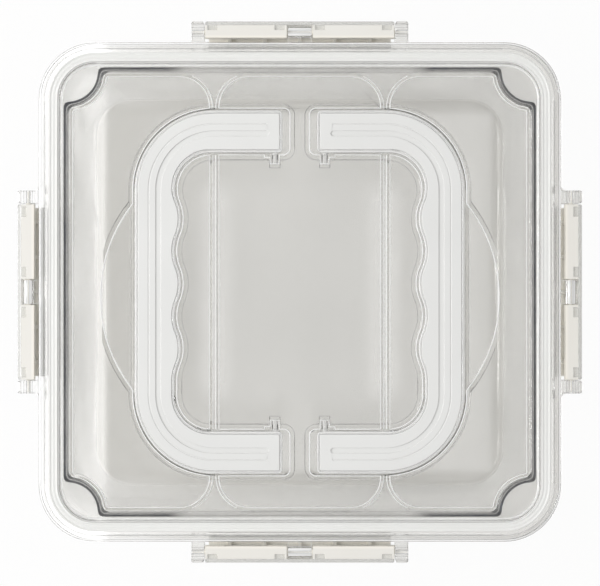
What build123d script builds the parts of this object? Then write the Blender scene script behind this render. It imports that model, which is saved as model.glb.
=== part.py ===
from build123d import *
from math import asin, cos, degrees, hypot, radians, sin
import os

os.makedirs("parts", exist_ok=True)

# A nearly square food keeper: a clear tub, a sealed lid that four side latches hold down,
# and two carry handles that fold flat into the lid.
# Millimetres, +Z up, origin at the centre of the underside. Back is +Y and right is +X.

# How far a cut runs past the material it cuts
beyond = 1.0

# Lid rim and skirt
lid_length = 235.4
lid_width = 225.0
lid_corner = 25.5
lid_wall = 2.4
lid_round = 1.2
skirt_wall = 2.6
skirt_depth = 15.0
ledge_drop = 0.6

# Seal under the rim
seal_inset = 4.1
seal_width = 4.8
seal_height = 3.0
seal_lip = 1.2
seal_fit = 0.2
rib_wall = 1.3
rib_depth = 4.6

# Tub
tub_height = 120.0
tub_wall = 2.4
tub_floor = 2.6
tub_inset = 5.4
tub_lean = 8.3
base_corner = 20.0
base_round = 5.5
base_border = 20.0
base_recess = 0.6
gate_radius = 0.9
gate_height = 0.4
flange_inset = 0.8
flange_depth = 3.0
flange_gap = 0.6

# Sunken tray of the lid, with scooped corners
tray_inset = 13.2
tray_wall = 1.8
tray_depth = 7.3
tray_skin = 2.2
notch_radius = 15.4
notch_round = 2.6
pad_height = 1.3
pad_slope = 1.4
pad_edge = 0.1
pad_margin = 0.3
pad_corner = 15.3
seam_offset = 38.7
seam_gap = 1.4

# Handle channels
channel_border_x = 42.1
channel_border_y = 29.25
channel_wall = 2.0
channel_land = 8.8
channel_round = 3.0
arm_width = 21.15
grip_width = 21.4
bow_corner = 37.0
palm_corner = 15.5
finger_pitch = 29.4
finger_wave = 2.95
crest_room = 0.75

# Handles
handle_thick = 10.0
handle_rise = 1.7
handle_lift = 0.4
handle_gap = 1.0
swing_gap = 0.8
handle_floor = 2.2
handle_rim = 1.2
handle_step = 1.2
heel_round = 3.4
edge_round = 0.6
hinge_setback = 3.5
stud_radius = 1.4
stud_length = 5.1
stud_fit = 0.06
stud_end_gap = 0.2
hinge_box = 4.7
hinge_box_end = 1.4
pocket_width = 4.1
pocket_length = 4.1
pocket_depth = 2.0
pocket_tab = 2.6
pocket_tab_width = 1.1
inlay_thick = 2.6
inlay_proud = 0.4
inlay_fit = 0.1
groove_inset = 11.5
groove_width = 2.5
groove_depth = 0.6
crease_inset = 7.2
crease_width = 0.6
crease_depth = 0.25
groove_start = 15.2

# Finger scoops outside the handles
scoop_width = 14.7
scoop_radius = 68.0
scoop_shift = -2.2
scoop_deep = 4.4
scoop_lip = 1.1

# Latches
latch_length_long = 97.9
latch_length_short = 91.6
latch_drop = 36.0
latch_play = 0.45
lug_width = 5.85
lug_drop = 1.2
lug_depth = 13.0
lug_web = 2.7
lug_round = 1.0
lug_groove = 0.6
lug_groove_depth = 0.9
lug_groove_pitch = 1.3
lug_groove_count = 7
centre_lug = 10.8
centre_lug_nose = 2.8
centre_lug_rise = 1.5
centre_lug_depth = 6.0
pin_out = 4.9
pin_down = 5.0
pin_radius = 1.1
pin_fit = 0.05
pin_short = 0.6
knuckle_radius = 3.0
knuckle_width = 8.6
head_relief = 0.3
lever_wall = 2.4
hook_gap = 0.25
hook_grip = 1.7
hook_thick = 3.0
hook_nose = 1.8
gusset_wall = 1.6
gusset_tip = 1.6
gusset_gap = 1.6
gusset_pitch = 16.0
gusset_height = 6.5
cover_wall = 1.6
cover_fit = 0.05
cover_round = 0.75
grip_count = 3
grip_pitch = 3.0
grip_width_z = 1.2
grip_depth = 0.4
grip_half = 30.0
clip_width = 4.5
clip_margin = 1.0
clip_reach = 2.2
clip_wall = 1.0

# Heights
lid_top = tub_height + seal_height + lid_wall
rim_under = lid_top - lid_wall
skirt_bottom = lid_top - skirt_depth
flange_top = skirt_bottom - flange_gap
flange_bottom = flange_top - flange_depth
ledge_top = lid_top - ledge_drop
tray_top = lid_top - tray_depth
tray_under = tray_top - tray_skin
pad_top = tray_top + pad_height
handle_top = tray_top + handle_rise
handle_bottom = handle_top - handle_thick
channel_floor = handle_bottom - handle_lift
hinge_z = (handle_bottom + handle_top) / 2
pin_z = lid_top - pin_down

# Places in plan
bow_reach = lid_length / 2 - channel_border_x
bow_half = lid_width / 2 - channel_border_y
palm_half = bow_half - arm_width
channel_end = channel_land / 2
handle_swing = hypot(hinge_setback, handle_thick / 2)
hinge_x = channel_end + handle_swing + swing_gap
handle_end = hinge_x - hinge_setback
inlay_inset = handle_gap + handle_rim


def outline(inset, corner=None):
    """The lid's outline, drawn smaller all round by inset."""
    radius = lid_corner - inset if corner is None else corner
    return RectangleRounded(lid_length - 2 * inset, lid_width - 2 * inset, radius)


def plate(sketch, bottom, top):
    """A flat outline made solid between two heights."""
    return extrude(Pos(0, 0, bottom) * sketch, top - bottom, dir=(0, 0, 1))


def rod_y(radius, x, y_from, y_to, z):
    """A round rod along Y between two ends."""
    length = abs(y_to - y_from)
    return Pos(x, (y_from + y_to) / 2, z) * Rot(90, 0, 0) * Cylinder(radius, length)


def rod_x(radius, length, y, z):
    """A round rod along X, centred on x = 0."""
    return Pos(0, y, z) * Rot(0, 90, 0) * Cylinder(radius, length)


def both_sides(part):
    """A part of the right half, with its mirror image on the left."""
    return part + mirror(part, about=Plane.YZ)


def leaning_box(inset, corner, bottom):
    """A box whose walls lean in by tub_lean from the tub's rim down to the given height."""
    low = Pos(0, 0, bottom) * outline(inset + tub_lean, corner)
    high = Pos(0, 0, tub_height) * outline(inset)
    return loft([low, high], ruled=True)


def make_tub():
    body = leaning_box(tub_inset, base_corner, 0)
    body = fillet(body.edges().group_by(Axis.Z)[0], base_round)
    body += plate(outline(flange_inset), flange_bottom, flange_top)
    inside = leaning_box(tub_inset + tub_wall, base_corner - tub_wall, tub_floor)
    inside = fillet(inside.edges().group_by(Axis.Z)[0], base_round - tub_wall)
    body -= inside
    border = tub_inset + tub_lean + base_border
    body -= plate(outline(border, base_corner - base_round), 0, base_recess)
    gate = Pos(0, 0, base_recess - gate_height / 2) * Cylinder(gate_radius, gate_height)
    return body + gate


def make_seal():
    outer = outline(seal_inset)
    inner = outline(seal_inset + seal_width)
    ring = plate(outer - inner, tub_height - seal_lip, rim_under)
    rim_slot = outline(tub_inset - seal_fit) - outline(tub_inset + tub_wall + seal_fit)
    return ring - plate(rim_slot, tub_height - seal_lip, tub_height)


def ticket(inset):
    """The tray's outline with four scooped corners, drawn smaller all round by inset."""
    half_x = lid_length / 2 - tray_inset
    half_y = lid_width / 2 - tray_inset
    shape = Rectangle(2 * (half_x - inset), 2 * (half_y - inset))
    for x in (-half_x, half_x):
        for y in (-half_y, half_y):
            shape -= Pos(x, y) * Circle(notch_radius + inset)
    return fillet(shape.vertices(), notch_round - inset)


def bow(inset, end):
    """Plan of a folded handle on the +X side from x = end, drawn smaller by inset.

    Its inner side is waved for the fingers: arcs that meet on a middle line, then a
    round corner into each arm.
    """
    reach = bow_reach - inset
    half = bow_half - inset
    inner = palm_half + inset
    middle = bow_reach - grip_width + inset
    chord = finger_pitch / 2
    swell = finger_wave / 2
    radius = chord**2 / (8 * swell) + swell / 2
    turn = degrees(asin(chord / 2 / radius))
    rise = 1 + sin(radians(turn))
    start = palm_half - palm_corner * rise
    room = start + palm_half - palm_corner
    crests = int(room / finger_pitch + 1 - crest_room)

    top_radius = (inner - start) / rise
    top_x = middle - top_radius * cos(radians(turn))
    edges = [Line((end - beyond, inner), (top_x, inner))]
    edges.append(CenterArc((top_x, inner - top_radius), top_radius, 90, -90 - turn))
    for step in range(2 * crests - 1):
        level = start - (step + 0.5) * chord
        if step % 2 == 0:
            centre = (middle - swell + radius, level)
            edges.append(CenterArc(centre, radius, 180 - turn, 2 * turn))
        else:
            centre = (middle + swell - radius, level)
            edges.append(CenterArc(centre, radius, turn, -2 * turn))
    level = start - 2 * crests * chord + chord / 2
    low_radius = palm_corner + inset
    low_x = middle + swell - low_radius
    low_y = low_radius - inner
    edges.append(CenterArc((middle + swell - radius, level), radius, turn, -turn))
    edges.append(Line((middle + swell, level), (middle + swell, low_y)))
    edges.append(CenterArc((low_x, low_y), low_radius, 0, -90))
    edges.append(Line((low_x, -inner), (end - beyond, -inner)))
    edges.append(Line((end - beyond, -inner), (end - beyond, inner)))
    palm = make_face(edges)

    shape = Pos((end + reach) / 2, 0) * Rectangle(reach - end, 2 * half)
    shape = fillet(shape.vertices().group_by(Axis.X)[-1], bow_corner - inset)
    shape -= palm
    tips = shape.vertices().group_by(Axis.X)[0]
    return fillet(tips, max(channel_round - inset, edge_round))


def pads():
    """Three pads side by side on the tray, with sloped edges and rounded seam corners."""
    near = seam_offset - seam_gap / 2
    far = seam_offset + seam_gap / 2
    tray = ticket(pad_margin)
    width = lid_width - 2 * (tray_inset + pad_margin)
    middle = RectangleRounded(2 * near, width, pad_corner)
    side_length = lid_length / 2
    side = Pos(far + side_length / 2, 0) * Rectangle(side_length, width)
    side = fillet(side.vertices().group_by(Axis.X)[0], pad_corner) & tray
    base = Pos(0, 0, tray_top - pad_height) * (middle & tray)
    side_base = Pos(0, 0, tray_top - pad_height) * side
    middle_pad = extrude(base, 2 * pad_height, dir=(0, 0, 1))
    side_pad = extrude(side_base, 2 * pad_height, dir=(0, 0, 1))
    middle_pad = slope_top(middle_pad)
    side_pad = slope_top(side_pad)
    return middle_pad + both_sides(side_pad)


def slope_top(pad):
    """Slope the upper edge of a pad."""
    top = pad.faces().sort_by(Axis.Z)[-1]
    return chamfer(top.edges(), pad_slope, pad_height - pad_edge, reference=top)


def scoop_plan(extra):
    """The crescent beside a handle channel on the +X side, drawn larger by extra."""
    circle = Pos(bow_reach + scoop_width - scoop_radius, scoop_shift) * Circle(scoop_radius + extra)
    beside = Pos(bow_reach - channel_wall / 2 + scoop_radius, 0) * Rectangle(2 * scoop_radius, lid_width)
    return circle & beside


def above_scoop(drop):
    """Everything above the scoop's sloping floor, lowered by drop."""
    near_x = bow_reach - 2 * channel_wall
    far_x = bow_reach + 2 * scoop_width
    slope = (scoop_deep - scoop_lip) / scoop_width
    near_z = pad_top - scoop_deep - drop - 2 * channel_wall * slope
    far_z = pad_top - scoop_deep - drop + 2 * scoop_width * slope
    profile = Polygon((near_x, near_z), (far_x, far_z), (far_x, lid_top), (near_x, lid_top), align=None)
    return extrude(Plane.XZ * profile, scoop_radius, both=True)


def hinge_pocket(side):
    """Plan of the small pocket in the pad over a stud, with the tab beside it."""
    reach = pocket_length + beyond
    pocket = Pos(hinge_x, side * (palm_half + beyond - reach / 2)) * Rectangle(pocket_width, reach)
    tab_x = hinge_x + (pocket_width + pocket_tab) / 2
    tab_reach = pocket_tab_width + beyond
    tab = Pos(tab_x, side * (palm_half + beyond - tab_reach / 2)) * Rectangle(pocket_tab, tab_reach)
    return pocket + tab


def make_lid():
    lid = plate(outline(0), skirt_bottom, lid_top)
    lid = fillet(lid.edges().group_by(Axis.Z)[-1], lid_round)
    lid -= plate(outline(skirt_wall), skirt_bottom, rim_under)
    rib_outside = seal_inset + seal_width + seal_fit
    rib_inside = rib_outside + rib_wall
    lid -= plate(outline(rib_inside), ledge_top, lid_top)
    lid += plate(outline(rib_outside) - outline(rib_inside), rim_under - rib_depth, rim_under)

    lid += plate(ticket(-tray_wall), tray_under, ledge_top)
    lid -= plate(ticket(0), tray_top, lid_top)
    lid += pads()

    channel = plate(bow(-channel_wall, channel_end - channel_wall), channel_floor - channel_wall, tray_under)
    scoop_shell = plate(scoop_plan(tray_skin), channel_floor, tray_top) & above_scoop(tray_skin)
    lid += both_sides(channel + scoop_shell)
    hollow = plate(bow(0, channel_end), channel_floor, lid_top)
    hollow += plate(scoop_plan(0), channel_floor, lid_top) & above_scoop(0)
    hole_end = palm_half + handle_gap - stud_length - stud_end_gap
    box_end = hole_end - hinge_box_end
    for side in (-1, 1):
        box = Pos(hinge_x, side * (palm_half + box_end) / 2) * Rectangle(hinge_box, palm_half - box_end)
        lid += both_sides(plate(box, hinge_z - hinge_box / 2, tray_top))
        hollow += plate(hinge_pocket(side), pad_top - pocket_depth, lid_top)
        hole_radius = stud_radius + stud_fit
        hollow += rod_y(hole_radius, hinge_x, side * hole_end, side * (palm_half + beyond), hinge_z)
    return lid - both_sides(hollow)


def make_handle():
    """The clear handle body on the +X side."""
    body = plate(bow(handle_gap, handle_end), handle_bottom, handle_top)
    body = fillet(body.edges().group_by(Axis.Z)[0] + body.edges().group_by(Axis.Z)[-1], edge_round)
    heel = Box(heel_round, 2 * bow_half, heel_round, align=(Align.MIN, Align.CENTER, Align.MIN))
    heel = Pos(handle_end, 0, handle_bottom) * heel
    heel -= rod_y(heel_round, handle_end + heel_round, -bow_half, bow_half, handle_bottom + heel_round)
    body -= heel
    seat_z = handle_top - inlay_thick + inlay_proud
    body -= plate(bow(inlay_inset, handle_end + handle_rim), seat_z, handle_top)
    hollow_inset = inlay_inset + handle_step
    hollow_end = hinge_x + stud_radius + handle_step
    body -= plate(bow(hollow_inset, hollow_end), handle_bottom + handle_floor, seat_z)
    stud_end = palm_half + handle_gap - stud_length
    stud_root = palm_half + inlay_inset
    for side in (-1, 1):
        body += rod_y(stud_radius, hinge_x, side * stud_end, side * stud_root, hinge_z)
    return body


def make_inlay():
    """The white grip on the +X side, set into the handle body."""
    top = handle_top + inlay_proud
    body = plate(bow(inlay_inset + inlay_fit, handle_end + handle_rim + inlay_fit), top - inlay_thick, top)
    body = fillet(body.edges().group_by(Axis.Z)[-1], inlay_proud)
    body -= plate(track(groove_inset, groove_width), top - groove_depth, top)
    return body - plate(track(crease_inset, crease_width), top - crease_depth, top)


def track(inset, width):
    """Plan of a groove that runs round a grip, with rounded ends."""
    shape = track_side(inset - width / 2) - track_side(inset + width / 2)
    for y in (-1, 1):
        shape += Pos(groove_start, y * (bow_half - inset)) * Circle(width / 2)
    return shape


def track_side(inset):
    """The outer side of a handle, drawn smaller by inset, from the start of its grooves."""
    reach = bow_reach - inset
    shape = Pos((groove_start + reach) / 2, 0) * Rectangle(reach - groove_start, 2 * (bow_half - inset))
    return fillet(shape.vertices().group_by(Axis.X)[-1], bow_corner - inset)


# Each latch is drawn with the lid's edge along X at y = 0 and outwards as +Y.
plate_out = pin_out + knuckle_radius
plate_in = plate_out - lever_wall
cover_in = plate_out + cover_fit
cover_out = cover_in + cover_wall
lever_top = pin_z + knuckle_radius
lever_bottom = lid_top - latch_drop
hook_top = flange_bottom - hook_gap
window_top = pin_z - centre_lug_depth - latch_play


def block(y_low, y_high, z_low, z_high):
    """A rectangle across a latch."""
    return Pos((y_low + y_high) / 2, (z_low + z_high) / 2) * Rectangle(y_high - y_low, z_high - z_low)


def bar(profile, left, right):
    """A profile across a latch, run along it from left to right."""
    return extrude(Plane.YZ.offset(left) * profile, right - left, dir=(1, 0, 0))


def segment_ends(length):
    """Where a lever's two hinge segments start and end, on the +X side."""
    return centre_lug / 2 + latch_play, length / 2 - lug_width - latch_play


def clip_places(length):
    """The left ends of a cover's clips."""
    inner, outer = segment_ends(length)
    right = [inner + clip_margin, outer - clip_margin - clip_width]
    return right + [-x - clip_width for x in right]


def make_lever(length):
    inner, outer = segment_ends(length)
    lever = bar(block(plate_in, plate_out, lever_bottom, window_top), -outer, outer)
    head = block(pin_out - knuckle_radius + head_relief, plate_out, pin_z - knuckle_radius, lever_top)
    head += block(plate_in, plate_out, window_top, pin_z)
    knuckle = Pos(pin_out, pin_z) * Circle(knuckle_radius)
    for left, right in ((-outer, -inner), (inner, outer)):
        lever += bar(head, left, right)
        lever += bar(knuckle, left, left + knuckle_width)
        lever += bar(knuckle, right - knuckle_width, right)
    tip = flange_inset + hook_grip
    hook = Polygon(
        (plate_in, hook_top),
        (-tip, hook_top),
        (-tip, hook_top - hook_thick + hook_nose),
        (hook_nose - tip, hook_top - hook_thick),
        (plate_in, hook_top - hook_thick),
        align=None,
    )
    lever += bar(hook, -outer + clip_margin, outer - clip_margin)
    gusset = Polygon(
        (plate_in, hook_top),
        (gusset_gap, hook_top),
        (gusset_gap, hook_top + gusset_tip),
        (plate_in, hook_top + gusset_height),
        align=None,
    )
    count = int((outer - gusset_wall) / gusset_pitch)
    for place in range(-count, count + 1):
        x = place * gusset_pitch
        lever += bar(gusset, x - gusset_wall / 2, x + gusset_wall / 2)
    lever -= rod_x(pin_radius + pin_fit, length, pin_out, pin_z)
    notch = block(plate_out - clip_reach - cover_fit, plate_out, lever_top - clip_wall - cover_fit, lever_top)
    for x in clip_places(length):
        lever -= bar(notch, x - cover_fit, x + clip_width + cover_fit)
    return lever


def make_cover(length):
    outer = segment_ends(length)[1]
    foot = lever_bottom - cover_fit - cover_wall
    cover = bar(block(cover_in, cover_out, foot, lever_top), -outer, outer)
    cover = fillet(cover.edges().filter_by(Axis.Z).group_by(Axis.Y)[-1], cover_round)
    cover += bar(block(plate_in, cover_in, foot, lever_bottom - cover_fit), -outer, outer)
    for x in clip_places(length):
        clip = block(plate_out - clip_reach, cover_in, lever_top - clip_wall, lever_top)
        cover += bar(clip, x, x + clip_width)
    for row in range(grip_count):
        z = lever_bottom + (row + 1) * grip_pitch
        groove = block(cover_out - grip_depth, cover_out, z, z + grip_width_z)
        cover -= bar(groove, -grip_half, grip_half)
    return cover


def make_pin(length):
    return rod_x(pin_radius, length - 2 * pin_short, pin_out, pin_z)


def make_lugs(length, webbed):
    """The lid's lugs for one latch, without the pin's hole."""
    end = length / 2
    root = -skirt_wall / 2
    top = lid_top - lug_drop
    low = top - lug_depth
    lug = bar(block(root, cover_out, low, top), end - lug_width, end)
    lug = fillet(lug.edges().filter_by(Axis.Z).group_by(Axis.Y)[-1], lug_round)
    if webbed:
        web = bar(block(root, lug_web, low, top), end - lug_round, end + lug_web)
        corner = Pos(end + lug_web, lug_web, (low + top) / 2) * Cylinder(lug_web, lug_depth)
        lug += web - corner
    for place in range(lug_groove_count):
        y = cover_out - lug_round - (place + 0.5) * lug_groove_pitch
        groove = block(y - lug_groove / 2, y + lug_groove / 2, top - lug_groove_depth, top)
        lug -= bar(groove, end - lug_width, end + lug_web)
    centre = Pos(pin_out, pin_z) * Circle(centre_lug_nose)
    centre += block(root, pin_out, pin_z - centre_lug_depth, pin_z + centre_lug_rise)
    return lug + mirror(lug, about=Plane.YZ) + bar(centre, -centre_lug / 2, centre_lug / 2)


def at_side(part, turn):
    """Carry a latch piece to its side of the lid: 0 is the back, 90 the left."""
    edge = lid_length / 2 if turn in (90, 270) else lid_width / 2
    return Rot(0, 0, turn) * Pos(0, edge, 0) * part


sides = {"back": 0, "left": 90, "front": 180, "right": 270}

parts = {"tub": make_tub(), "seal": make_seal()}
lid = make_lid()
for side, turn in sides.items():
    along_y = turn in (90, 270)
    length = latch_length_short if along_y else latch_length_long
    lid += at_side(make_lugs(length, along_y), turn)
    lid -= at_side(rod_x(pin_radius + pin_fit, length, pin_out, pin_z), turn)
    parts[f"latch_{side}"] = at_side(make_lever(length), turn)
    parts[f"cover_{side}"] = at_side(make_cover(length), turn)
    parts[f"pin_{side}"] = at_side(make_pin(length), turn)
parts["lid"] = lid
parts["handle_right"] = make_handle()
parts["handle_left"] = mirror(parts["handle_right"], about=Plane.YZ)
parts["inlay_right"] = make_inlay()
parts["inlay_left"] = mirror(parts["inlay_right"], about=Plane.YZ)

for name, part in parts.items():
    export_step(part, f"parts/{name}.step")
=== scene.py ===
from math import cos, pi, radians, sin

import bmesh
import bpy
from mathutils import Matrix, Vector


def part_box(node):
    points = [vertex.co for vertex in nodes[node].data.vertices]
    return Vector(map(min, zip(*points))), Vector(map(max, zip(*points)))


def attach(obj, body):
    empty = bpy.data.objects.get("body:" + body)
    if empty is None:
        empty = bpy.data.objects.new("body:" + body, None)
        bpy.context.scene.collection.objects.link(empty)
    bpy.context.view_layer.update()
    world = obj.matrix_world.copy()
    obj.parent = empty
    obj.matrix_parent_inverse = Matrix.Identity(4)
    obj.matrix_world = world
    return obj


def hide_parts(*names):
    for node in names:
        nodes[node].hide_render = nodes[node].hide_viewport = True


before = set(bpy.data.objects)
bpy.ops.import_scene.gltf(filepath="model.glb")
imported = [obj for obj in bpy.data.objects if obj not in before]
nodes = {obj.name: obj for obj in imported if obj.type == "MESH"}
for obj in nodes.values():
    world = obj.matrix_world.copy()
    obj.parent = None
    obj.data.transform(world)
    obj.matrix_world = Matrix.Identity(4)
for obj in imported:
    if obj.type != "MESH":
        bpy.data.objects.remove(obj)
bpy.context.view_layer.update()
scene = bpy.context.scene

# Sizes of the moulding that the looks follow, in metres
mm = 0.001
lid_half_x = 117.7 * mm
lid_half_y = 112.5 * mm
lid_corner = 25.5 * mm
lid_top = 125.4 * mm
rim_low = 123.5 * mm
tray_half_x = 104.5 * mm
tray_half_y = 99.3 * mm
notch_radius = 15.4 * mm
notch_blend = 4.6 * mm
wall_foot = 118.3 * mm
hook_top = 118 * mm
pad_top = 119.4 * mm
scoop_top = 118.2 * mm
panel_low = 118.05 * mm
highlight_bead_radius = 0.26 * mm
foot_half_x = 97 * mm
foot_half_y = 91 * mm

# Scales of the unevenness in the plastics, in features per metre
haze_scale = 22
patch_scale = 30
flow_scale = 60
streak_scale = 90
grain_scale = 400
fine_grain_scale = 2500

# What counts as the same place, the same height and a sharp edge when edges are rounded
same_place = 1e-6
same_height = 0.02 * mm
sharp = radians(38)


# Node helpers
def new_material(name):
    material = bpy.data.materials.new(name)
    material.use_nodes = True
    tree = material.node_tree
    return material, tree, tree.nodes["Principled BSDF"]


def math(tree, operation, *values):
    """A Math node on numbers or sockets. Returns its output."""
    node = tree.nodes.new("ShaderNodeMath")
    node.operation = operation
    for socket, value in zip(node.inputs, values):
        if isinstance(value, bpy.types.NodeSocket):
            tree.links.new(value, socket)
        else:
            socket.default_value = value
    return node.outputs[0]


def chain(tree, operation, first, *others):
    """One operation over several values in turn."""
    for value in others:
        first = math(tree, operation, first, value)
    return first


def ramp(tree, value, low, high, start=0.0, end=1.0):
    """A smooth change from start to end while value goes from low to high."""
    node = tree.nodes.new("ShaderNodeMapRange")
    node.interpolation_type = "SMOOTHSTEP"
    tree.links.new(value, node.inputs["Value"])
    node.inputs["From Min"].default_value = low
    node.inputs["From Max"].default_value = high
    node.inputs["To Min"].default_value = start
    node.inputs["To Max"].default_value = end
    return node.outputs["Result"]


def mix_colour(tree, factor, first, second):
    node = tree.nodes.new("ShaderNodeMix")
    node.data_type = "RGBA"
    tree.links.new(factor, node.inputs["Factor"])
    for socket, value in (("A", first), ("B", second)):
        if isinstance(value, bpy.types.NodeSocket):
            tree.links.new(value, node.inputs[socket])
        else:
            node.inputs[socket].default_value = (*value, 1)
    return node.outputs["Result"]


def mix_shader(tree, factor, first, second):
    """Send a mix of two shaders to the material's surface."""
    mix = tree.nodes.new("ShaderNodeMixShader")
    for socket, value in zip(mix.inputs, (factor, first.outputs[0], second.outputs[0])):
        tree.links.new(value, socket)
    tree.links.new(mix.outputs[0], tree.nodes["Material Output"].inputs["Surface"])


def split_xyz(tree, vector):
    node = tree.nodes.new("ShaderNodeSeparateXYZ")
    tree.links.new(vector, node.inputs[0])
    return node.outputs["X"], node.outputs["Y"], node.outputs["Z"]


def place(tree):
    """The object position, as a vector."""
    return tree.nodes.new("ShaderNodeTexCoord").outputs["Object"]


def noise(tree, coords, scale, detail=2.0):
    node = tree.nodes.new("ShaderNodeTexNoise")
    node.inputs["Scale"].default_value = scale
    node.inputs["Detail"].default_value = detail
    tree.links.new(coords, node.inputs["Vector"])
    return node.outputs["Fac"]


def bump(tree, height, distance, strength):
    node = tree.nodes.new("ShaderNodeBump")
    node.inputs["Distance"].default_value = distance
    node.inputs["Strength"].default_value = strength
    tree.links.new(height, node.inputs["Height"])
    return node.outputs["Normal"]


def length(tree, x, y):
    """The length of the vector with this x and y."""
    vector = tree.nodes.new("ShaderNodeCombineXYZ")
    for socket, value in zip(vector.inputs, (x, y)):
        tree.links.new(value, socket)
    node = tree.nodes.new("ShaderNodeVectorMath")
    node.operation = "LENGTH"
    tree.links.new(vector.outputs[0], node.inputs[0])
    return node.outputs["Value"]


def beyond_outline(tree, x, y, half_x, half_y):
    """How far a point lies outside a rectangle in x, in y and in the larger of the two, negative inside."""
    out_x = math(tree, "SUBTRACT", math(tree, "ABSOLUTE", x), half_x)
    out_y = math(tree, "SUBTRACT", math(tree, "ABSOLUTE", y), half_y)
    return out_x, out_y, math(tree, "MAXIMUM", out_x, out_y)


def outline_inset(tree, x, y, half_x, half_y, radius):
    """How far a point lies inside a rounded rectangle's outline."""
    out_x, out_y, out = beyond_outline(tree, x, y, half_x - radius, half_y - radius)
    corner = length(tree, math(tree, "MAXIMUM", out_x, 0.0), math(tree, "MAXIMUM", out_y, 0.0))
    reach = math(tree, "ADD", corner, math(tree, "MINIMUM", out, 0.0))
    return math(tree, "SUBTRACT", radius, reach)


def line(tree, value, centre, width, depth=1):
    """As much as depth where value is within half a width of centre, fading out by a width."""
    away = math(tree, "ABSOLUTE", math(tree, "SUBTRACT", value, centre))
    return ramp(tree, away, width / 2, width, depth, 0)


def flatness(tree):
    """One on faces that lie level when the keeper is closed, nought on upright ones."""
    geometry = tree.nodes.new("ShaderNodeNewGeometry")
    turn = tree.nodes.new("ShaderNodeVectorTransform")
    turn.vector_type = "NORMAL"
    turn.convert_from = "WORLD"
    turn.convert_to = "OBJECT"
    tree.links.new(geometry.outputs["True Normal"], turn.inputs[0])
    return math(tree, "ABSOLUTE", split_xyz(tree, turn.outputs[0])[2])


def edge_band(tree):
    """One on the narrow slopes and rounded edges of a moulding, nought on its faces."""
    tilt = flatness(tree)
    return math(tree, "MULTIPLY", ramp(tree, tilt, 0.76, 0.82), ramp(tree, tilt, 0.975, 0.996, 1, 0))


def upright_band(tree):
    """One on upright faces, nought on the rest."""
    return ramp(tree, flatness(tree), 0.1, 0.25, 1, 0)


# Materials
clear_tint = (0.985, 0.985, 0.98)
tub_tint = (0.98, 0.975, 0.965)
# Painted shade: the grey of the tub's floor
tub_floor_shade = (0.68, 0.67, 0.645)
handle_tint = (0.97, 0.97, 0.965)
# Painted shade: the grey of the handles' upright sides
handle_side_shade = (0.65, 0.65, 0.65)
# Painted shade: the grey of the lines along the rim, across the lug ribs and on upright faces in the tray
line_shade_grey = (0.42, 0.42, 0.42)
# Painted shade: the dark blue-grey of the line along the lid's tray wall
wall_shade_colour = (0.004, 0.005, 0.009)
lamp_tint = (0.955, 0.955, 0.95)


def clear_plastic(name, tint, haze, ripple, clarity, highlight_clarity=None, plain_below=0):
    """Moulded clear plastic: flow ripples, patches of haze and a painted highlight on its slopes and rounded
    edges, which are made less clear so they show pale. Lamps shine through it.
    """
    material, tree, shader = new_material(name)
    coords = place(tree)
    shader.inputs["Base Color"].default_value = (*tint, 1)
    shader.inputs["IOR"].default_value = 1.5
    shader.inputs["Transmission Weight"].default_value = clarity
    # Painted highlight: the slopes and rounded edges of the raised moulding are made less clear, so they show
    # pale like edges catching the light.
    if highlight_clarity is not None:
        raised = ramp(tree, split_xyz(tree, coords)[2], plain_below, plain_below + 0.2 * mm)
        edges = math(tree, "MULTIPLY", edge_band(tree), raised)
        fade = math(tree, "MULTIPLY_ADD", edges, highlight_clarity - clarity, clarity)
        tree.links.new(fade, shader.inputs["Transmission Weight"])
    patches = noise(tree, coords, haze_scale)
    tree.links.new(ramp(tree, patches, 0.35, 0.65, haze * 0.6, haze * 1.4), shader.inputs["Roughness"])
    tree.links.new(bump(tree, noise(tree, coords, flow_scale, 1), ripple, 0.25), shader.inputs["Normal"])
    lit = tree.nodes.new("ShaderNodeBsdfTransparent")
    lit.inputs["Color"].default_value = (*lamp_tint, 1)
    path = tree.nodes.new("ShaderNodeLightPath")
    passing = math(tree, "MAXIMUM", path.outputs["Is Shadow Ray"], path.outputs["Is Diffuse Ray"])
    mix_shader(tree, passing, shader, lit)
    return material, tree, shader


def wall_shade_line(tree, coords):
    """How strongly the tray's upright wall gets its painted shade, a dark blue-grey line for the darkness it
    shows, and how far a point lies outside the ticket-shaped tray.
    """
    x, y, z = split_xyz(tree, coords)
    out_x, out_y, out = beyond_outline(tree, x, y, tray_half_x, tray_half_y)
    notch = math(tree, "SUBTRACT", notch_radius, length(tree, out_x, out_y))
    edge = math(tree, "SMOOTH_MAX", out, notch, notch_blend)
    fill = line(tree, edge, 0.85 * mm, 1.0 * mm, 0.6)
    inner = line(tree, edge, 0.3 * mm, 0.35 * mm, 0.9)
    outer = line(tree, edge, 1.3 * mm, 0.8 * mm)
    wall = chain(tree, "MAXIMUM", fill, inner, outer)
    raised = ramp(tree, z, wall_foot, wall_foot + 0.3 * mm)
    # The painted shade is weaker in the middle of the front and back walls, and varies in faint streaks.
    middle = ramp(tree, math(tree, "ABSOLUTE", x), 48 * mm, 60 * mm, 0.35, 1)
    sides = ramp(tree, math(tree, "SUBTRACT", out_y, out_x), -4 * mm, 0, 1, 0)
    streaks = ramp(tree, noise(tree, coords, streak_scale), 0.3, 0.7, 0.97, 1)
    depth = math(tree, "MAXIMUM", middle, sides)
    return chain(tree, "MULTIPLY", wall, raised, depth, streaks), edge


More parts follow.
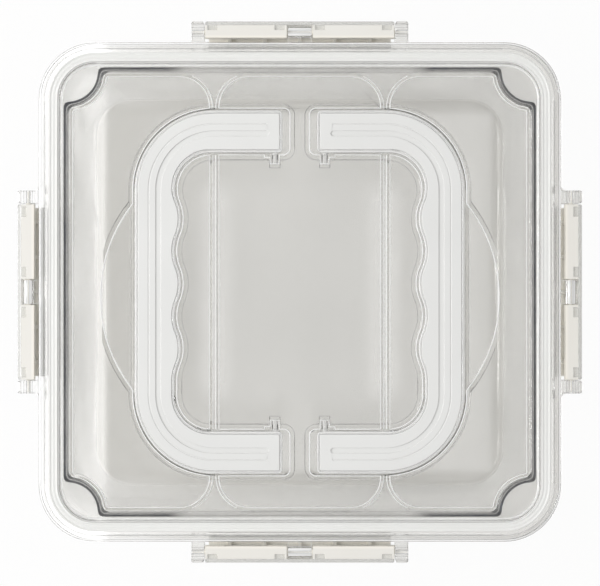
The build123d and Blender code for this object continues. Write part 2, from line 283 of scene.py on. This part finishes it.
def rim_shade_lines(tree, coords):
    """Painted shade: grey lines along the rim's edges and steps, and a grey band across the latch lugs' ribs.
    """
    x, y, z = split_xyz(tree, coords)
    inset = outline_inset(tree, x, y, lid_half_x, lid_half_y, lid_corner)
    steps = [line(tree, inset, place_mm * mm, width_mm * mm)
             for place_mm, width_mm in ((1.2, 0.22), (3.0, 0.2), (9.6, 0.25))]
    lines = chain(tree, "MAXIMUM", *steps)
    lines = math(tree, "MULTIPLY", lines, ramp(tree, z, rim_low, rim_low + 0.5 * mm))
    outside = ramp(tree, inset, -2.5 * mm, -2 * mm, 0.5, 0)
    below = ramp(tree, z, rim_low, rim_low + 0.2 * mm, 1, 0)
    above = ramp(tree, z, rim_low - 0.6 * mm, rim_low - 0.4 * mm)
    return math(tree, "MAXIMUM", lines, chain(tree, "MULTIPLY", outside, below, above))


def lid_plastic():
    """The lid's plastic, with painted shade: a dark blue-grey line along its upright tray wall, and grey lines
    along the rim, across the lug ribs and on upright faces in the tray.
    """
    material, tree, shader = clear_plastic(
        "lid_clear", clear_tint, haze=0.02, ripple=0.002 * mm, clarity=1, highlight_clarity=0.1,
        plain_below=panel_low)
    coords = place(tree)
    wall, edge = wall_shade_line(tree, coords)
    # Painted shade: upright faces inside the tray turn grey.
    upright = math(tree, "MULTIPLY", upright_band(tree), ramp(tree, edge, -3 * mm, -2 * mm, 1, 0))
    lines = math(tree, "MAXIMUM", rim_shade_lines(tree, coords), upright)
    plain = mix_colour(tree, lines, clear_tint, line_shade_grey)
    tree.links.new(mix_colour(tree, wall, plain, wall_shade_colour), shader.inputs["Base Color"])
    return material


def tub_plastic():
    """The tub's plastic, cloudier than the lid's, with painted shade in its floor: greyer low down, standing in
    for the shadowed floor seen through it.
    """
    material, tree, shader = clear_plastic("tub_clear", tub_tint, haze=0.14, ripple=0.005 * mm, clarity=0.88)
    low = ramp(tree, split_xyz(tree, place(tree))[2], 3 * mm, 8 * mm, 1, 0)
    tree.links.new(mix_colour(tree, low, tub_tint, tub_floor_shade), shader.inputs["Base Color"])
    return material


def handle_plastic():
    """The handles' plastic, with painted shade: greyer on its upright sides."""
    material, tree, shader = clear_plastic(
        "handle_clear", handle_tint, haze=0.03, ripple=0.02 * mm, clarity=0.65, highlight_clarity=0.25)
    tint = mix_colour(tree, upright_band(tree), handle_tint, handle_side_shade)
    tree.links.new(tint, shader.inputs["Base Color"])
    return material


def cover_plastic():
    """The latch covers' plastic, a little greyer and cloudier than the lid's."""
    return clear_plastic(
        "clear_plastic", (0.8, 0.8, 0.785), haze=0.03, ripple=0.01 * mm, clarity=0.85, highlight_clarity=0.35)[0]


def satin_plastic(name, colour, shade, roughness):
    """Opaque moulded plastic with a fine satin grain and slight unevenness."""
    material, tree, shader = new_material(name)
    coords = place(tree)
    patches = ramp(tree, noise(tree, coords, patch_scale), 0.3, 0.7)
    tree.links.new(mix_colour(tree, patches, colour, shade), shader.inputs["Base Color"])
    satin = ramp(tree, noise(tree, coords, grain_scale), 0.3, 0.7, roughness - 0.04, roughness + 0.05)
    tree.links.new(satin, shader.inputs["Roughness"])
    tree.links.new(bump(tree, noise(tree, coords, fine_grain_scale), 0.02 * mm, 0.2), shader.inputs["Normal"])
    return material, tree, shader


def ivory_plastic():
    """Ivory plastic, with painted shade by the lid's edge, where it turns tan, and painted light in the hook
    under the rim, which is made near-white and see-through so it shows no shade.
    """
    material, tree, shader = satin_plastic("ivory_plastic", (0.83, 0.81, 0.765), (0.81, 0.79, 0.735), 0.36)
    x, y, z = split_xyz(tree, place(tree))
    plain = shader.inputs["Base Color"].links[0].from_socket
    out = beyond_outline(tree, x, y, lid_half_x, lid_half_y)[2]
    # Painted shade: tan where the lever sits by the lid's edge.
    edge_shade = mix_colour(tree, ramp(tree, out, 2.2 * mm, 3.8 * mm, 1, 0), plain, (0.92, 0.88, 0.8))
    # Painted light: the hook under the rim turns near-white and see-through, hiding the shade it sits in.
    near = ramp(tree, out, 1.2 * mm, 2.2 * mm, 1, 0)
    hook = math(tree, "MULTIPLY", near, ramp(tree, z, hook_top - 2 * mm, hook_top, 1, 0))
    tree.links.new(mix_colour(tree, hook, edge_shade, (0.96, 0.96, 0.95)), shader.inputs["Base Color"])
    tree.links.new(math(tree, "MULTIPLY", hook, 0.8), shader.inputs["Transmission Weight"])
    return material


silicone = satin_plastic("silicone", (0.88, 0.88, 0.87), (0.86, 0.86, 0.845), 0.5)[0]
# Painted highlight: pale plastic for the beads along the panel's edges
highlight_edge = satin_plastic("highlight_edge", (0.97, 0.97, 0.96), (0.95, 0.95, 0.94), 0.3)[0]
kinds = {
    "tub": tub_plastic(),
    "lid": lid_plastic(),
    "handle": handle_plastic(),
    "cover": cover_plastic(),
    "inlay": satin_plastic("white_plastic", (0.79, 0.79, 0.775), (0.77, 0.77, 0.755), 0.34)[0],
    "latch": ivory_plastic(),
    "pin": satin_plastic("rod_plastic", (0.83, 0.8, 0.73), (0.8, 0.77, 0.7), 0.6)[0],
    "seal": silicone,
}
edge_widths = {"lid": 0.2 * mm, "handle": 0.25 * mm, "cover": 0.15 * mm, "latch": 0.12 * mm, "inlay": 0.12 * mm}


# Rounded edges
def keep_inside(obj):
    """Hold a node's rounded edges inside the node's own box."""
    group = bpy.data.node_groups.new("keep_inside", "GeometryNodeTree")
    for way in ("INPUT", "OUTPUT"):
        group.interface.new_socket("Geometry", in_out=way, socket_type="NodeSocketGeometry")
    start = group.nodes.new("NodeGroupInput")
    end = group.nodes.new("NodeGroupOutput")
    vector = group.nodes.new("GeometryNodeInputPosition").outputs[0]
    for operation, corner in zip(("MAXIMUM", "MINIMUM"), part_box(obj.name)):
        limit = group.nodes.new("ShaderNodeVectorMath")
        limit.operation = operation
        limit.inputs[1].default_value = corner
        group.links.new(vector, limit.inputs[0])
        vector = limit.outputs[0]
    move = group.nodes.new("GeometryNodeSetPosition")
    group.links.new(start.outputs[0], move.inputs["Geometry"])
    group.links.new(vector, move.inputs["Position"])
    group.links.new(move.outputs[0], end.inputs[0])
    obj.modifiers.new("keep_inside", "NODES").node_group = group


def soften(obj, width):
    """Round a moulding's sharp edges."""
    weld = obj.modifiers.new("weld", "WELD")
    weld.merge_threshold = same_place
    bevel = obj.modifiers.new("bevel", "BEVEL")
    bevel.width = width
    bevel.segments = 2
    bevel.use_clamp_overlap = False
    bevel.limit_method = "ANGLE"
    bevel.angle_limit = sharp
    keep_inside(obj)


for name, obj in nodes.items():
    kind = name.split("_")[0]
    for slot in obj.material_slots:
        slot.material = kinds[kind]
    if kind in edge_widths:
        soften(obj, edge_widths[kind])


# Painted highlight: pale opaque beads along the panel's moulded edges, standing in for the light those edges
# catch
def top_edges(obj, heights):
    """The sharp upper edges of obj at these heights inside the tray, as places and neighbours by vertex."""
    source = bmesh.new()
    source.from_mesh(obj.data)
    bmesh.ops.remove_doubles(source, verts=source.verts, dist=same_place)
    source.verts.index_update()
    places = {}
    near = {}
    for edge in source.edges:
        ends = [vertex.co for vertex in edge.verts]
        level = any(all(abs(end.z - height) < same_height for end in ends) for height in heights)
        inside = all(abs(end.x) < tray_half_x - mm and abs(end.y) < tray_half_y - mm for end in ends)
        if not level or not inside or not edge.is_convex or edge.calc_face_angle() < sharp:
            continue
        for vertex in edge.verts:
            places[vertex.index] = vertex.co.copy()
            near.setdefault(vertex.index, set()).add(edge.other_vert(vertex).index)
    source.free()
    return places, near


def paths_along(near):
    """The paths that the neighbours make, each from an end or a junction on, or round a closed loop."""
    joined = {point: len(others) for point, others in near.items()}
    paths = []
    for start in sorted(near, key=lambda point: (joined[point] == 2, point)):
        while near[start]:
            path = [start]
            here = start
            while near[here]:
                ahead = min(near[here])
                near[here].discard(ahead)
                near[ahead].discard(here)
                path.append(ahead)
                here = ahead
                if here == start or joined[here] != 2:
                    break
            paths.append(path)
    return paths


def beads(name, obj, radius, heights):
    """Thin round beads along the sharp upper edges of obj at these heights, for painted highlights."""
    places, near = top_edges(obj, heights)
    curve = bpy.data.curves.new(name, "CURVE")
    curve.dimensions = "3D"
    curve.bevel_depth = radius
    curve.bevel_resolution = 1
    curve.use_fill_caps = True
    for path in paths_along(near):
        closed = path[0] == path[-1]
        points = path[:-1] if closed else path
        spline = curve.splines.new("POLY")
        spline.points.add(len(points) - 1)
        for point, index in zip(spline.points, points):
            point.co = (*places[index], 1)
        spline.use_cyclic_u = closed
    highlight_bead = bpy.data.objects.new(name, curve)
    scene.collection.objects.link(highlight_bead)
    return highlight_bead


highlight_bead = beads("panel_highlight_beads", nodes["lid"], highlight_bead_radius, (pad_top, scoop_top))
highlight_bead.data.materials.append(highlight_edge)
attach(highlight_bead, "lid")


# Seal, swept round the rim under the lid
def new_object(name, vertices, faces, material):
    mesh = bpy.data.meshes.new(name)
    mesh.from_pydata(vertices, [], faces)
    mesh.update()
    mesh.materials.append(material)
    obj = bpy.data.objects.new(name, mesh)
    scene.collection.objects.link(obj)
    return obj


def ring(name, profile, material):
    """A closed ring round the lid's outline. Its profile is (inset, height) points, in mm."""
    steps = 14
    sections = []
    for corner, (sx, sy) in enumerate(((1, 1), (-1, 1), (-1, -1), (1, -1))):
        centre = Vector((sx * (lid_half_x - lid_corner), sy * (lid_half_y - lid_corner), 0))
        for step in range(steps + 1):
            angle = (corner + step / steps) * pi / 2
            sections.append((centre, Vector((cos(angle), sin(angle), 0))))
    vertices = []
    for centre, way in sections:
        for inset, height in profile:
            vertices.append(centre + way * (lid_corner - inset * mm) + Vector((0, 0, height * mm)))
    size = len(profile)
    faces = []
    for i in range(len(sections)):
        j = (i + 1) % len(sections)
        for k in range(size):
            m = (k + 1) % size
            faces.append((i * size + k, j * size + k, j * size + m, i * size + m))
    return new_object(name, vertices, faces, material)


seal_profile = [
    (4.35, 119.0), (4.35, 122.4), (4.6, 122.85), (5.1, 122.85), (5.4, 122.45), (6.0, 122.5),
    (6.5, 122.7), (7.0, 122.5), (7.6, 122.45), (7.9, 122.85), (8.4, 122.85), (8.65, 122.4),
    (8.65, 119.0), (8.2, 118.9), (8.05, 120.1), (5.15, 120.1), (5.0, 118.9),
]
seal = ring("seal_ring", seal_profile, silicone)
for polygon in seal.data.polygons:
    polygon.use_smooth = True
soft = seal.modifiers.new("soft", "SUBSURF")
soft.levels = 1
soft.render_levels = 2
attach(seal, "lid")
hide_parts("seal")


# Floor: nearly white to the camera, and glowing in painted patches of light and shade as clear pieces show it
camera_share = 0.93
left_boost = 0.5


def floor_light_patches(tree, x, y):
    """How much painted light the floor glows with where clear pieces show it, in patches of light and shade,
    and where it is brighter still, past the left wall.
    """
    away_x = math(tree, "ABSOLUTE", x)
    away_y = math(tree, "ABSOLUTE", y)
    foot = beyond_outline(tree, x, y, foot_half_x, foot_half_y)[2]
    # Under the tub's foot, less towards the left
    under = math(tree, "MULTIPLY", ramp(tree, foot, -3 * mm, 3 * mm, 0.6, 0),
                 ramp(tree, x, -92 * mm, -40 * mm, 0.1, 1))
    # In a strip on each side of the middle
    strips = chain(tree, "MULTIPLY", ramp(tree, away_x, 30 * mm, 38 * mm, 0, 0.3),
                   ramp(tree, away_x, 46 * mm, 54 * mm, 1, 0), ramp(tree, away_y, 46 * mm, 60 * mm, 1, 0))
    # Past the left wall, by the right wall, and past the front and back walls towards the left
    left = ramp(tree, x, -101 * mm, -95 * mm, 1, 0)
    right = ramp(tree, x, 86 * mm, 94 * mm, 0.1, 0)
    ends = math(tree, "MULTIPLY", ramp(tree, away_y, 92 * mm, 98 * mm),
                ramp(tree, x, -100 * mm, -50 * mm, 0.6, 0))
    share = chain(tree, "ADD", under, math(tree, "MAXIMUM", left, ends), right, strips)
    return share, math(tree, "MULTIPLY", left, ramp(tree, x, -121 * mm, -117 * mm))


def floor_material():
    """The floor's pale matt surface, with a white glow for what the camera sees and painted patches of light
    where clear pieces show it.
    """
    material, tree, shader = new_material("floor")
    shader.inputs["Base Color"].default_value = (0.88, 0.87, 0.85, 1)
    shader.inputs["Roughness"].default_value = 1
    x, y = split_xyz(tree, place(tree))[:2]
    share, bright = floor_light_patches(tree, x, y)
    path = tree.nodes.new("ShaderNodeLightPath")
    through = math(tree, "MAXIMUM", path.outputs["Is Transmission Ray"], path.outputs["Is Glossy Ray"])
    seen = math(tree, "MULTIPLY", path.outputs["Is Camera Ray"], camera_share)
    share = math(tree, "MULTIPLY_ADD", through, share, seen)
    glow = tree.nodes.new("ShaderNodeEmission")
    boost = math(tree, "MULTIPLY_ADD", math(tree, "MULTIPLY", through, bright), left_boost, 1.0)
    tree.links.new(boost, glow.inputs["Strength"])
    mix_shader(tree, share, shader, glow)
    return material


reach = 3
floor_z = -0.5 * mm
corners = [(x, y, floor_z) for x, y in ((-reach, -reach), (reach, -reach), (reach, reach), (-reach, reach))]
floor = new_object("floor", corners, [(0, 1, 2, 3)], floor_material())

# World: a white backdrop near the horizon, darker studio walls above it and a pale ceiling
world = bpy.data.worlds.new("studio")
scene.world = world
world.use_nodes = True
tree = world.node_tree
coords = tree.nodes.new("ShaderNodeTexCoord")
walls = tree.nodes.new("ShaderNodeValToRGB")
tree.links.new(split_xyz(tree, coords.outputs["Generated"])[2], walls.inputs[0])
bands = walls.color_ramp.elements
bands[0].position, bands[0].color = 0.08, (0.9, 0.9, 0.9, 1)
bands[1].position, bands[1].color = 0.16, (0.08, 0.085, 0.1, 1)
for position, grey in ((0.5, 0.12), (0.75, 0.6), (0.97, 1.4)):
    bands.new(position).color = (grey, grey, grey, 1)
path = tree.nodes.new("ShaderNodeLightPath")
plain = mix_colour(tree, path.outputs["Is Diffuse Ray"], walls.outputs[0], (0.65, 0.65, 0.65))
backdrop = mix_colour(tree, path.outputs["Is Camera Ray"], plain, (1, 1, 1))
tree.links.new(backdrop, tree.nodes["Background"].inputs["Color"])

# Lamp: one soft window light from the left
light = bpy.data.lights.new("key", "AREA")
light.size = 0.7
light.energy = 12
lamp = bpy.data.objects.new("key", light)
scene.collection.objects.link(lamp)
lamp.location = (-1.1, 0.1, 1.2)
lamp_target = Vector((0, 0, 0.1))
lamp.rotation_euler = (lamp_target - lamp.location).to_track_quat("-Z", "Y").to_euler()

# Camera, straight above the lid
camera_height = 1.0
view_width = 0.270
view = bpy.data.cameras.new("camera")
view.sensor_width = 36
view.lens = view.sensor_width * camera_height / view_width
camera = bpy.data.objects.new("camera", view)
scene.collection.objects.link(camera)
camera.location = (0.0001, -0.00045, lid_top + camera_height)
scene.camera = camera
scene.view_settings.view_transform = "Standard"
